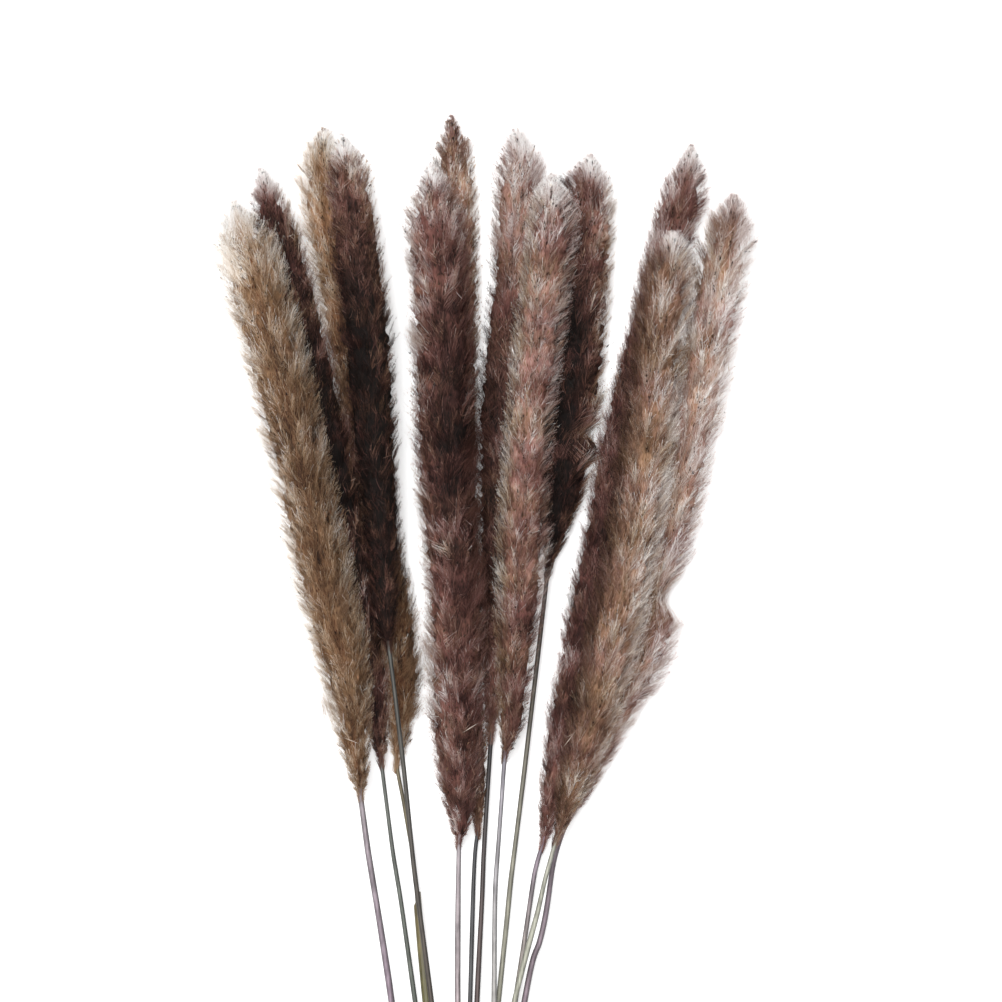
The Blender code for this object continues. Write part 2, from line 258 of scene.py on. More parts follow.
# How much the hair spreads for the reach of its solid, at the left and at the right: shares of the plume's
# length from its base and the spread there
EVEN = [(0, 1.0)]
SPREADS = {
    "01": ([(0, 1.08)], EVEN),
    "03": ([(0, 1.05)], EVEN),
    "05": ([(0, 1.1)], EVEN),
    "06": ([(0, 1.1)], EVEN),
    "07": ([(0.52, 1.45), (0.74, 1.02)], EVEN),
    "08": (EVEN, [(0, 1.2)]),
    "09": ([(0, 1.35)], [(0.22, 1.0), (0.27, 1.1), (0.297, 1.4), (0.315, 1.3), (0.337, 0.6), (0.36, 0.95),
                         (0.375, 1.14), (0.45, 1.0)]),
    "10": ([(0.52, 1.0), (0.74, 0.88)], EVEN),
    "12": (EVEN, [(0.18, 1.0), (0.23, 1.19), (0.28, 1.33), (0.332, 1.2), (0.34, 0.82), (0.355, 0.28),
                  (0.403, 0.77), (0.44, 1.0)]),
}

# Finding the spot of a plume at a place in the photograph
SEARCH_STEPS = 500
ON_OUTSIDE = 0.97

# Tufts that stand out of the outline, by reed: where they start and end in the photograph in pixels and how
# much lighter they are
HAIRS_IN_TUFT = 260
TUFT_SHAPE = (1.0, 1.0, 0.4)
TUFT_ROOTS = 2.4 * MM
TUFT_TIPS = 2.2 * MM
TUFT_SHORTENING = 0.6
TUFTS = {
    "01": [((334, 710), (319, 679), -0.15), ((242, 280), (226, 252), -0.1),
           ((238, 262), (219, 238), -0.08), ((238, 246), (222, 214), -0.06),
           ((242, 240), (232, 206), -0.06), ((248, 242), (246, 210), -0.06)],
    "03": [((410, 715), (423, 696), 0.0), ((409, 672), (420, 650), 0.0)],
    "05": [((462, 153), (471, 134), -0.1)],
    "06": [((433, 652), (424, 626), -0.1), ((421, 345), (408, 318), 0.0), ((469, 470), (481, 440), 0.06),
           ((470, 452), (481, 420), 0.06), ((471, 520), (482, 494), 0.08), ((474, 572), (485, 545), 0.04),
           ((475, 600), (486, 570), 0.04)],
    "07": [((536, 178), (548, 150), -0.05), ((488, 442), (477, 416), 0.14), ((488, 480), (477, 452), 0.14),
           ((488, 524), (478, 496), 0.14), ((488, 562), (478, 534), 0.1), ((488, 600), (477, 570), 0.08)],
    "12": [((720, 232), (706, 203), 0.0), ((740, 240), (752, 212), 0.0)],
}

# Loose bits that stand out, by reed: where they start and end in the photograph in pixels, their width in
# millimetres, and their lightness and hue
TWIGS = {
    "01": [((344, 735), (361, 741), 0.3, 0.8, 0.3), ((350, 741), (362, 734), 0.3, 0.78, 0.3)],
    "02": [((385, 737), (389, 718), 0.3, 0.84, 0.2)],
    "03": [((411, 610), (418, 595), 0.6, 0.1, 0.2), ((412, 679), (425, 660), 0.7, 0.08, 0.2),
           ((408, 742), (413, 739), 0.6, 0.12, 0.3)],
    "06": [((417, 455), (422, 437), 0.5, 0.1, 0.1), ((462, 731), (479, 721), 0.5, 0.82, 0.3),
           ((463, 729), (472, 720), 0.3, 0.78, 0.3)],
    "07": [((543, 154), (548, 151), 0.9, 0.12, 0.2)],
    "09": [((606, 348), (610, 344), 1.0, 0.04, 0.1), ((611, 345), (616, 339), 1.0, 0.06, 0.1)],
    "10": [((604, 403), (600, 395), 0.8, 0.06, 0.1)],
    "11": [((563, 746), (575, 730), 0.4, 0.8, 0.3), ((566, 736), (575, 731), 0.3, 0.78, 0.3)],
    "12": [((631, 641), (655, 608), 0.5, 0.12, 0.3)],
}

# The colours of hair from dark to light for three hues, as they show in the photograph
SHADE_PLACES = (0.0, 0.2, 0.4, 0.6, 0.8, 1.0)
MAUVE_SHADES = [(12, 7, 6), (53, 31, 28), (105, 68, 62), (154, 116, 109), (201, 184, 180), (250, 249, 248)]
GOLDEN_SHADES = [(16, 10, 6), (54, 39, 29), (105, 79, 57), (156, 125, 94), (204, 187, 164), (250, 249, 247)]
RUST_SHADES = [(20, 10, 6), (64, 35, 24), (116, 74, 50), (161, 114, 82), (204, 173, 144), (242, 228, 212)]

# Stems: colour at the plume and at the cut end, as they show in the photograph
STEMS = {
    "01": ((128, 120, 124), (126, 104, 122)),
    "02": ((84, 86, 82), (84, 90, 80)),
    "03": ((92, 82, 62), (118, 114, 66)),
    "04": ((66, 66, 62), (70, 58, 50)),
    "05": ((50, 50, 53), (84, 84, 84)),
    "06": ((150, 142, 146), (138, 122, 122)),
    "07": ((44, 42, 43), (96, 78, 74)),
    "08": ((130, 126, 134), (172, 170, 160)),
    "09": ((58, 47, 43), (162, 161, 144)),
    "10": ((116, 104, 116), (158, 156, 124)),
    "11": ((148, 147, 136), (166, 166, 148)),
    "12": ((118, 106, 114), (108, 92, 98)),
}
SHEATH_COLOURS = ((88, 76, 50), (98, 101, 64))


def linear(colour):
    """A colour of the photograph as the linear values that a shader takes."""
    values = []
    for part in colour:
        share = part / 255
        values.append(share / 12.92 if share <= 0.04045 else ((share + 0.055) / 1.055) ** 2.4)
    return (*values, 1.0)


def unit(vectors):
    return vectors / np.maximum(np.linalg.norm(vectors, axis=-1, keepdims=True), 1e-9)


def eased(share):
    """A share from 0 to 1 that starts and ends gently."""
    return share * share * (3 - 2 * share)


def node_corners(name):
    """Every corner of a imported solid, as rows of x, y and z."""
    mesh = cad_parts[name].data
    corners = np.empty(len(mesh.vertices) * 3)
    mesh.vertices.foreach_get("co", corners)
    return corners.reshape(-1, 3)


class Plume:
    """The centre line and the reach of one plume, measured on its solid.

    A spot in a plume is its distance along the centre line from the base, sideways and upward, in metres.
    """

    def __init__(self, number):
        corners = node_corners("plume_" + number)
        self.spreads = SPREADS.get(number, (EVEN, EVEN))
        lowest = corners[:, 1].min()
        base = corners[corners[:, 1] < lowest + END_WINDOW].mean(0)
        top = corners[corners[:, 1].argmax()]
        axis = unit(top - base)
        place = (corners - base) @ axis
        self.length = place.max()
        self.marks = np.linspace(0, self.length, STATIONS)
        across = unit(np.cross(axis, (0, 0, 1)))
        over = np.cross(across, axis)
        centres = []
        reaches = []
        for mark in self.marks:
            to_end = min(mark, self.length - mark)
            window = min(WIDEST_WINDOW, END_WINDOW + to_end * WINDOW_GROWTH)
            weights = np.clip(1 - np.abs(place - mark) / (window * WINDOW_FADE), 0, None)
            centre = (corners * weights[:, None]).sum(0) / weights.sum()
            centre += axis * (mark - (centre - base) @ axis)
            out = corners[np.abs(place - mark) < window] - centre
            centres.append(centre)
            reaches.append(np.hypot(out @ across, (out @ over) / FLATNESS).max())
        centres[0] = base
        centres[-1] = top
        reaches[0] *= BASE_TAPER
        reaches = np.array(reaches) * LOCK_SHORTFALL
        self.reaches = np.convolve(np.pad(reaches, 1, mode="edge"), EVENING_OUT, mode="valid")
        self.centres = np.array(centres)
        self.ahead = unit(np.gradient(self.centres, axis=0))
        self.sides = unit(np.cross(self.ahead, (0, 0, 1)))
        self.ups = np.cross(self.sides, self.ahead)

    def along(self, values, place):
        """Values known at the stations, at other places along the plume."""
        return np.stack([np.interp(place, self.marks, values[:, axis]) for axis in range(3)], axis=-1)

    def reach(self, place):
        return np.interp(place, self.marks, self.reaches)

    def world(self, spots):
        place = np.clip(spots[..., 0], 0, self.length)
        beyond = spots[..., 0] - place
        result = self.along(self.centres, place) + self.along(self.ahead, place) * beyond[..., None]
        left, right = [np.interp(place / self.length, *zip(*spread)) for spread in self.spreads]
        sideways = spots[..., 1] * np.where(spots[..., 1] < 0, left, right)
        result += self.along(self.sides, place) * sideways[..., None]
        result += self.along(self.ups, place) * spots[..., 2:3]
        above = np.maximum(result[..., 2] - cad_high.z, 0)
        result[..., 2] = np.maximum(result[..., 2] - above * PRESSED_ON_TOP, LOWEST_HAIR)
        return result

    def outward(self, spots):
        """Which way is out of the plume at spots, in the world."""
        place = spots[..., 0]
        sideways = self.along(self.sides, place) * spots[..., 1:2]
        return unit(sideways + self.along(self.ups, place) * spots[..., 2:3] + 1e-7)

    def depth(self, spots):
        """How far out spots are: 0 on the centre line and 1 at the outside of the solid."""
        return np.hypot(spots[..., 1], spots[..., 2] / FLATNESS) / self.reach(spots[..., 0])

    def size(self):
        return self.length * self.reaches.mean()


class Shading:
    """How light and which hue a plume is at its spots."""

    def __init__(self, plume, look, chance):
        self.plume = plume
        self.look = look
        self.pitch = 2 * math.pi / (chance.uniform(*WAVE_LENGTHS, WAVES) * MM)
        self.turns = chance.integers(*WAVE_TURNS, WAVES)
        self.phase = chance.uniform(0, 2 * math.pi, WAVES)

    def patches(self, spots):
        """A slow, uneven swing between -1 and 1 along and round the plume."""
        angle = np.arctan2(spots[..., 2], spots[..., 1])
        total = 0
        for pitch, turns, phase in zip(self.pitch, self.turns, self.phase):
            total = total + np.sin(spots[..., 0] * pitch + angle * turns + phase)
        return total / math.sqrt(len(self.pitch))

    def outside(self, spots):
        """How far spots are outside a plume's body: 0 well inside and 1 at the end of its reach."""
        return eased(np.clip((self.plume.depth(spots) - OUTSIDE_FROM) / (1 - OUTSIDE_FROM), 0, 1))

    def sideways(self, spots):
        reach = np.maximum(self.plume.reach(spots[..., 0]), MM)
        return np.clip(spots[..., 1] / reach, -1, 1)

    def in_spine(self, spots):
        """How near spots are to the middle line that the camera sees: 1 on it and 0 well beside it."""
        return np.exp(-(self.sideways(spots) / SPINE_WIDTH) ** 2)

    def near_tip(self, spots):
        """How near spots are to the tip: 0 on the body and 1 at the end of the plume."""
        return eased(np.clip((spots[..., 0] - self.plume.length) / TIP_FADE + 1, 0, 1))

    def light(self, spots, whiter=BODY_HAIRS["whiter"]):
        """How light spots are; the tip of the plume gets whiter by a share of the look's own rise."""
        look = self.look
        place = spots[..., 0] / self.plume.length
        level = np.interp(place, LIGHT_PLACES, look["light"])
        # The rise of the outside is partly the pale fringe of hair and partly painted light and painted shade
        # on one side of the plume
        rise = np.interp(self.sideways(spots), (-EDGE, 0, EDGE), look["sides"])
        rise *= np.interp(place, (0, BASE_STRETCH), (SIDES_AT_BASE, 1))
        rise -= look["spine"] * self.in_spine(spots)
        whitening = look["tip"] * self.near_tip(spots)
        return level + rise * self.outside(spots) + whitening * whiter + look["patchy"] * self.patches(spots)

    def hue(self, spots):
        left, inside, right = self.look["hues"]
        sideways = self.sideways(spots)
        outer = np.interp(sideways, (-EDGE, EDGE), (left, right))
        outside = self.outside(spots) * np.clip(0.3 + 1.2 * np.abs(sideways), 0, 1)
        golden = SPINE_GOLDEN * self.look["spine"] * self.in_spine(spots) - TIP_MAUVE * self.near_tip(spots)
        elsewhere = spots + 0.1
        return inside + (outer - inside) * outside + golden + PATCHY_HUE * self.patches(elsewhere)


class Strands:
    """Gathers narrow faces with three or four corners, and the shade and the hue of each corner."""

    def __init__(self):
        self.groups = []

    def add(self, corners, shade, hue):
        """Corners are faces by corners by 3; shade and hue are faces by corners."""
        self.groups.append((corners, shade, hue))

    def triangles(self):
        return sum(len(corners) * (corners.shape[1] - 2) for corners, shade, hue in self.groups)

    def mesh(self, name):
        corners, shades, hues = zip(*self.groups)
        places = np.concatenate([faces.reshape(-1, 3) for faces in corners])
        shades = np.concatenate([shade.ravel() for shade in shades])
        hues = np.concatenate([hue.ravel() for hue in hues])
        sizes = np.concatenate([np.full(len(faces), faces.shape[1]) for faces in corners])
        starts = np.concatenate([[0], np.cumsum(sizes)[:-1]]).astype(np.int32)
        looks = np.clip(np.stack([shades, hues], axis=-1), 0.003, 0.997)
        made = bpy.data.meshes.new(name)
        made.vertices.add(len(places))
        made.vertices.foreach_set("co", places.astype(np.float32).ravel())
        made.loops.add(len(places))
        made.loops.foreach_set("vertex_index", np.arange(len(places), dtype=np.int32))
        made.polygons.add(len(sizes))
        made.polygons.foreach_set("loop_start", starts)
        made.uv_layers.new(name="OFBake").data.foreach_set("uv", looks.astype(np.float32).ravel())
        made.update()
        return made


def body_point(plume, place):
    """How wide the body is there for the plume's reach: 1, and near the tip down to a blunt point."""
    return BLUNT_END + (1 - BLUNT_END) * np.clip((plume.length - place) / BODY_POINT, 0, 1) ** POINT_CURVE


class Branches:
    """The side branches of a plume: each climbs from the stalk outward and towards the tip.

    They sit in spiral arms, and on each arm a few in a row gather to one tuft, which follows the middle one.
    """

    def __init__(self, plume, look, chance):
        self.plume = plume
        self.count = int(plume.length / BRANCH_SPACING)
        order = np.arange(self.count)
        middle = BRANCHES_IN_TUFT * (order // (BRANCHES_IN_TUFT * SPIRAL_ARMS)) + BRANCHES_IN_TUFT // 2
        self.leader = np.minimum(order % SPIRAL_ARMS + SPIRAL_ARMS * middle, self.count - 1)
        self.angle = order * GOLDEN_ANGLE + chance.normal(0, BRANCH_TURN, self.count)
        share = FIRST_BRANCH + (1 - FIRST_BRANCH) * (order + 0.5) / self.count
        end = share * plume.length + chance.normal(0, BRANCH_SCATTER, self.count)
        self.end = np.clip(end, FIRST_BRANCH * plume.length, plume.length - 0.5 * MM)
        longer = chance.random(self.count)
        self.out = BRANCH_REACH + BRANCH_REACH_MORE * longer
        self.out *= body_point(plume, self.end)
        self.limit = HAIR_REACH + HAIR_REACH_MORE * longer - look["spiky"] * SPIKY_SHORTER * (1 - longer)
        steep = np.radians(chance.uniform(*BRANCH_ANGLES, self.count))
        run = self.out * plume.reach(self.end) / np.tan(steep)
        self.start = np.maximum(self.end - run, self.end * START_AT_LEAST)
        tone = chance.normal(0, BRANCH_TONES, self.count)
        self.shade = tone + chance.normal(0, TUFT_TONES, self.count)[self.leader]
        self.hue = chance.normal(0, BRANCH_HUES, self.count)

    def spots(self, index, share):
        """Plume spots on branches, at a share from 0 at the stalk to 1 at the end."""
        place = self.start[index] + (self.end[index] - self.start[index]) * share
        out = self.out[index] * self.plume.reach(self.end[index]) * share ** BRANCH_CURVE
        angle = self.angle[index]
        return np.stack([place, out * np.cos(angle), out * np.sin(angle) * FLATNESS], axis=-1)

    def heading(self, index, share):
        return unit(self.spots(index, share + 0.1) - self.spots(index, share - 0.1))


def stop_at_reach(plume, root, tip, limit, unevenness=0.0):
    """Shorten strands so that their tips stay within a share of the plume's reach and its length."""
    inner = plume.depth(root)
    outer = plume.depth(tip)
    share = np.where(outer > limit, (limit - inner) / np.maximum(outer - inner, 1e-6), 1.0)
    from_axis = np.hypot(tip[:, 1], tip[:, 2]) / plume.reaches.max()
    beyond = plume.length + BEYOND_TIP - TIP_ROUNDING * from_axis ** 2 - unevenness - root[:, 0]
    share = np.minimum(share, beyond / np.maximum(tip[:, 0] - root[:, 0], 1e-6))
    return root + (tip - root) * np.clip(share, SHORTEST_LEFT, 1.0)[:, None]


def across_strand(chance, low, high, outward, width):
    """Half of a strand's width, with its face turned roughly outward."""
    normal = outward + chance.normal(0, FACE_TURN, low.shape)
    return unit(np.cross(high - low, normal)) * width[:, None] / 2


def swerve(chance, heading, angle):
    """Headings turned by an angle to a random side."""
    sideways = unit(np.cross(heading, chance.normal(size=heading.shape)))
    return heading * np.cos(angle)[:, None] + sideways * np.sin(angle)[:, None]


def add_hairs(plume, branches, shading, strands, chance, count, kind):
    """Fine hairs that stand off the branches in a narrow fan and point towards the tip of the plume.

    Those of the halo are finer and longer than those of the body, and every other one is widest at its tip.
    """
    halo = kind is HALO_HAIRS
    look = shading.look
    index = chance.integers(0, branches.count, count)
    share = chance.uniform(*kind["on_branch"], count)
    root = branches.spots(index, share)
    root[:, 1:] += chance.normal(0, HAIR_SCATTER, (count, 2))
    usual = HAIR_ANGLE - HAIR_ANGLE_LESS * share
    widest = np.radians(np.where(chance.random(count) < LOOSE_HAIRS, LOOSE_ANGLE, usual))
    heading = swerve(chance, branches.heading(index, share), widest * np.sqrt(chance.random(count)))
    size = np.clip(plume.reach(np.minimum(root[:, 0], plume.length - BODY_POINT)) / USUAL_REACH, *HAIR_SIZES)
    length = chance.uniform(*kind["lengths"], count)
    limit = branches.limit[branches.leader[index]] - 0.1 * chance.random(count) ** 2
    if not halo:
        limit = (limit - 0.6 * look["fuzz"]) * body_point(plume, root[:, 0])
    unevenness = HAIR_UNEVENNESS * np.sqrt(chance.random(count))
    tip = root + heading * (length * MM * size)[:, None]
    pull = (0.3 + 0.5 * look["spiky"]) * kind["gather"] * chance.random(count)
    gathered = branches.spots(branches.leader[index], np.full(count, 1.2))
    tip += (gathered - tip) * np.where(gathered[:, 0] > root[:, 0] + 2 * MM, pull, 0)[:, None]
    tip = stop_at_reach(plume, root, tip, limit, unevenness)
    low = plume.world(root)
    high = plume.world(tip)
    wider = 1.0 if halo else BODY_WIDER - FUZZ_NARROWER * look["fuzz"]
    width = kind["width"] * wider * chance.uniform(*HAIR_WIDTHS, count)
    half = across_strand(chance, low, high, plume.outward(tip), width)
    odd = chance.random(count)
    tone = branches.shade[index] + chance.normal(0, HAIR_TONES, count)
    tone += np.where(odd < ODD_HAIRS, ODD_TONE, 0) - np.where(odd > 1 - ODD_HAIRS, ODD_TONE, 0)
    # Darker roots and lighter tips: partly the hair's own tone and partly painted shade deep among the tufts
    at_root = shading.light(root, kind["whiter"]) + tone - ROOT_TONE_AND_SHADE
    at_tip = shading.light(tip, kind["whiter"]) + tone + TIP_LIGHTER
    hue = shading.hue((root + tip) / 2) + branches.hue[index] + chance.normal(0, HAIR_HUES, count)
    corners = np.stack([low - half, low + half, high], axis=1)
    shade = np.stack([at_root, at_root, at_tip], axis=1)
    if halo:
        corners[::2] = np.stack([high + half, high - half, low], axis=1)[::2]
        shade[::2] = np.stack([at_tip, at_tip, at_root], axis=1)[::2]
    strands.add(corners, shade, hue[:, None] + np.array([-0.03, 0.03, 0.0]))


def fan_out(chance, place, kind):
    """Roots round the stalk at places along it, and the tips of hairs that fan out from it."""
    count = len(place)
    angle = chance.uniform(0, 2 * math.pi, count)
    sides = np.stack([np.cos(angle), np.sin(angle) * FLATNESS], axis=-1)
    out = sides * chance.uniform(*kind["radii"], count)[:, None] * MM
    root = np.concatenate([place[:, None], out], axis=1)
    spread = np.radians(chance.uniform(*kind["angles"], count))
    heading = np.concatenate([np.cos(spread)[:, None], sides * np.sin(spread)[:, None]], axis=1)
    length = chance.uniform(*kind["lengths"], count)[:, None] * MM
    return root, root + heading * length


def add_pointed(shading, strands, chance, root, tip, kind, wider=1.0, lighter=0.0):
    """Single hairs of one triangle each, widest at the root, or at the tip for hairs of the halo's kind."""
    plume = shading.plume
    count = len(root)
    root_tone, tip_tone, variation = kind["tones"]
    ends = [(plume.world(root), root_tone), (plume.world(tip), tip_tone)]
    if kind is HALO_HAIRS:
        ends.reverse()
    (near, near_tone), (far, far_tone) = ends
    half = across_strand(chance, near, far, plume.outward(tip), np.full(count, kind["width"]) * wider)
    shade = shading.light(tip, kind["whiter"]) + lighter + chance.normal(0, variation, count)
    hue = shading.hue(tip) + chance.normal(0, SINGLE_HUES, count)
    shades = shade[:, None] + np.array([near_tone, near_tone, far_tone])
    strands.add(np.stack([near - half, near + half, far], axis=1), shades, np.repeat(hue[:, None], 3, axis=1))


def add_haze(plume, shading, strands, chance, count):
    """The pale, silky hairs that spread round the pointed end of the body and make the tip blunt."""
    place = plume.length - HAZE["stretch"] * chance.uniform(0.1, 1.0, count)
    root, tip = fan_out(chance, place, HAZE)
    limit = 1.6 - 0.9 * np.sqrt(chance.random(count))
    unevenness = HAZE["unevenness"] * np.sqrt(chance.random(count))
    tip = stop_at_reach(plume, root, tip, limit, unevenness)
    add_pointed(shading, strands, chance, root, tip, HALO_HAIRS, wider=chance.uniform(0.6, 1.1, count))


def add_base_hairs(shading, strands, chance):
    """Hairs that grow from the stem round the base and close up to a point there."""
    place = chance.uniform(*BASE["places"], BASE["count"]) * MM
    root, tip = fan_out(chance, place, BASE)
    add_pointed(shading, strands, chance, root, tip, BODY_HAIRS)


def add_strays(plume, branches, shading, strands, chance):
    """Single pale, silky hairs that lie across the others in long bends."""
    count = STRAYS["count"]
    index = chance.integers(0, branches.count, count)
    root = branches.spots(index, chance.uniform(*STRAYS["on_branch"], count))
    aside = np.radians(chance.uniform(*STRAYS["angles"], count))
    heading = swerve(chance, branches.heading(index, np.ones(count)), aside)
    length = chance.uniform(*STRAYS["lengths"], count)[:, None] * MM
    limit = chance.uniform(*STRAYS["limits"], count)
    middle = stop_at_reach(plume, root, root + heading * length / 2, limit)
    along = np.array([1.0, 0.0, 0.0])
    tip = stop_at_reach(plume, middle, middle + unit(heading + along) * length / 2, limit)
    tone = chance.uniform(*STRAYS["lighter"], count)
    hue = shading.hue(tip) - 0.1
    width = HALO_HAIRS["width"] * chance.uniform(*STRAYS["wider"], count)
    for near, far, near_width, far_width in ((root, middle, 1.0, 0.8), (middle, tip, 0.8, 0.1)):
        low = plume.world(near)
        high = plume.world(far)
        half = across_strand(chance, low, high, plume.outward(far), width)
        near_half, far_half = half * near_width, half * far_width
        corners = np.stack([low - near_half, low + near_half, high + far_half, high - far_half], axis=1)
        shade = np.repeat((shading.light(far) + tone)[:, None], 4, axis=1)
        strands.add(corners, shade, hue[:, None] + np.array([-0.02, 0.02, 0.02, -0.02]))


def add_kites(plume, strands, chance, root, tip, width, shade, hue, change):
    """Flat, pointed scales from root to tip, widest a little under the middle."""
    low = plume.world(root)
    high = plume.world(tip)
    half = across_strand(chance, low, high, plume.outward(tip), width)
    middle = low + (high - low) * KITE_WIDEST
    corners = np.stack([low, middle + half, high, middle - half], axis=1)
    shades = shade[:, None] + np.array([-change, 0, change, 0])
    strands.add(corners, shades, hue[:, None] + np.array([0, 0.03, 0, -0.03]))


def add_husks(plume, branches, shading, strands, chance, count):
    """Small, golden brown husks along the branches, which show between the hairs."""
    index = chance.integers(0, branches.count, count)
    share = chance.uniform(*HUSKS["on_branch"], count)
    root = branches.spots(index, share)
    aside = np.radians(chance.uniform(*HUSKS["angles"], count))
    heading = swerve(chance, branches.heading(index, share), aside)
    length = chance.uniform(*HUSKS["lengths"], count) * MM
    limit = chance.uniform(*HUSKS["limits"], count)
    tip = stop_at_reach(plume, root, root + heading * length[:, None], limit, HAIR_UNEVENNESS)
    contrast = 0.08 + shading.look["husks"]
    shade = shading.light(root) - 0.06 + chance.normal(0, contrast, count)
    hue = np.clip(shading.look["hues"][1] + 0.2 + chance.normal(0, 0.12, count), 0, 1)
    width = length * chance.uniform(*HUSKS["widths"], count)
    add_kites(plume, strands, chance, root, tip, width, shade, hue, 0.05)


def add_seeds(plume, branches, strands, chance):
    """Tiny, dark seeds on the branches, more of them near the tip of the plume and near its middle line."""
    count = SEEDS["count"]
    order = branches.count * (1 - 0.9 * chance.random(count) ** 2)
    index = np.minimum(order.astype(int), branches.count - 1)
    to_camera = np.flatnonzero(np.sin(branches.angle) > FACES_CAMERA)
    in_line = np.searchsorted(to_camera, index[::2]).clip(0, len(to_camera) - 1)
    index[::2] = to_camera[in_line]
    root = branches.spots(index, chance.uniform(*SEEDS["on_branch"], count))
    aside = np.radians(chance.uniform(*SEEDS["angles"], count))
    heading = swerve(chance, branches.heading(index, np.ones(count)), aside)
    length = chance.uniform(*SEEDS["lengths"], count) * MM
    limit = np.full(count, SEEDS["limit"])
    tip = stop_at_reach(plume, root, root + heading * length[:, None], limit, HAIR_UNEVENNESS)
    shade = chance.uniform(*SEEDS["shades"], count)
    hue = chance.uniform(*SEEDS["hues"], count)
    add_kites(plume, strands, chance, root, tip, length * SEEDS["width"], shade, hue, 0.03)


def spot_under(plume, pixel_x, pixel_y):
    """The spot on a plume, at its side towards the camera, that shows at a place in the photograph."""
    there = np.array([PHOTO_MIDDLE_X + (pixel_x - PHOTO_PIXELS / 2) * PIXEL,
                      PHOTO_MIDDLE_Y - (pixel_y - PHOTO_PIXELS / 2) * PIXEL])
    places = np.linspace(0, plume.length, SEARCH_STEPS)
    away = there - plume.along(plume.centres, places)[:, :2]
    nearest = np.hypot(away[:, 0], away[:, 1]).argmin()
    place = places[nearest]
    sideways = away[nearest] @ plume.along(plume.sides, place)[:2]
    upward = FLATNESS * math.sqrt(max((ON_OUTSIDE * plume.reach(place)) ** 2 - sideways ** 2, 0.0))
    return np.array([place, sideways, upward])


def add_tufts(plume, shading, strands, chance, tufts):
    """The tufts of hair that stand out of the outline in the photograph."""
    size = (HAIRS_IN_TUFT, 3)
    for start, end, lighter in tufts:
        root = spot_under(plume, *start) + chance.normal(0, TUFT_ROOTS, size) * TUFT_SHAPE
        tip = spot_under(plume, *end) + chance.normal(0, TUFT_TIPS, size) * TUFT_SHAPE
        tip += (root - tip) * TUFT_SHORTENING * chance.random((HAIRS_IN_TUFT, 1))
        add_pointed(shading, strands, chance, root, tip, BODY_HAIRS, lighter=lighter)


def add_twigs(plume, strands, chance, twigs):
    """The loose bits of stalk and the seeds that stand out in the photograph."""
    for start, end, width, shade, hue in twigs:
        root = spot_under(plume, *start)[None]
        tip = spot_under(plume, *end)[None]
        values = [np.array([value]) for value in (width * MM, shade, hue)]
        add_kites(plume, strands, chance, root, tip, *values, 0.05)


def add_node(tree, kind, values, **settings):
    """A shader node; its inputs get the values, which are plain or come out of other nodes."""
    node = tree.nodes.new("ShaderNode" + kind)
    for name, value in settings.items():
        setattr(node, name, value)
    for name, value in values.items():
        if isinstance(value, bpy.types.NodeSocket):
            tree.links.new(value, node.inputs[name])
        else:
            node.inputs[name].default_value = value
    return node


def ramp(tree, tone, shades):
    node = add_node(tree, "ValToRGB", {"Fac": tone})
    stops = node.color_ramp.elements
    for place in SHADE_PLACES[1:-1]:
        stops.new(place)
    for stop, colour in zip(stops, shades):
        stop.color = linear(colour)
    return node.outputs["Color"]


def mix_colours(tree, share, one, two):
    return add_node(tree, "Mix", {0: share, 6: one, 7: two}, data_type="RGBA").outputs[2]


def ranged(tree, value, from_low, from_high, to_low, to_high):
    limits = {"From Min": from_low, "From Max": from_high, "To Min": to_low, "To Max": to_high}
    return add_node(tree, "MapRange", {"Value": value, **limits}).outputs["Result"]


def blended(tree, tone, hue):
    """The colour of hair of a tone from dark to light and a hue from mauve to rust."""
    mauve, golden, rust = [ramp(tree, tone, shades) for shades in (MAUVE_SHADES, GOLDEN_SHADES, RUST_SHADES)]
    lower = mix_colours(tree, ranged(tree, hue, 0.0, 0.5, 0.0, 1.0), mauve, golden)
    return mix_colours(tree, ranged(tree, hue, 0.5, 1.0, 0.0, 1.0), lower, rust)


def worked_out(tree, operation, one, two):
    return add_node(tree, "Math", {0: one, 1: two}, operation=operation).outputs["Value"]


def parts_of(tree, vector):
    """The first two values of a vector or a colour."""
    node = add_node(tree, "SeparateXYZ", {"Vector": vector})
    return node.outputs["X"], node.outputs["Y"]


def noise(tree, where, stretch, scale, detail, roughness):
    """Noise, on places stretched by a factor in each direction where one is given."""
    if stretch:
        where = add_node(tree, "Mapping", {"Vector": where, "Scale": stretch}).outputs["Vector"]
    values = {"Vector": where, "Scale": scale, "Detail": detail, "Roughness": roughness}
    return add_node(tree, "TexNoise", values).outputs["Fac"]


def add_bump(tree, shader, height, strength, distance):
    node = add_node(tree, "Bump", {"Strength": strength, "Distance": distance, "Height": height})
    tree.links.new(node.outputs["Normal"], shader.inputs["Normal"])


def new_material(name, surface):
    """A material, its node tree and its shader, which gets the values of a surface."""
    made = bpy.data.materials.new(name)
    made.use_nodes = True
    shader = made.node_tree.nodes["Principled BSDF"]
    for socket, value in surface.items():
        shader.inputs[socket].default_value = value
    return made, made.node_tree, shader


def hair_material(name):
    """Hair that is coloured by its map: across it from dark to light, up it from mauve to rust."""
    made, tree, shader = new_material(name, HAIR_SURFACE)
    looks = add_node(tree, "UVMap", {}, uv_map="OFBake").outputs["UV"]
    colour = blended(tree, *parts_of(tree, looks))
    tree.links.new(colour, shader.inputs["Base Color"])
    see_through = add_node(tree, "BsdfTranslucent", {"Color": colour}).outputs["BSDF"]
    both = add_node(tree, "MixShader", {"Fac": SEE_THROUGH, 1: shader.outputs["BSDF"], 2: see_through})
    tree.links.new(both.outputs["Shader"], tree.nodes["Material Output"].inputs["Surface"])
    return made


def pelt_noise(tree, where, along, round_it, detail):
    """Noise of a size in metres along the plume and round it."""
    return noise(tree, where, (1 / along, 1 / round_it, 1.0), 1.0, detail, 0.6)


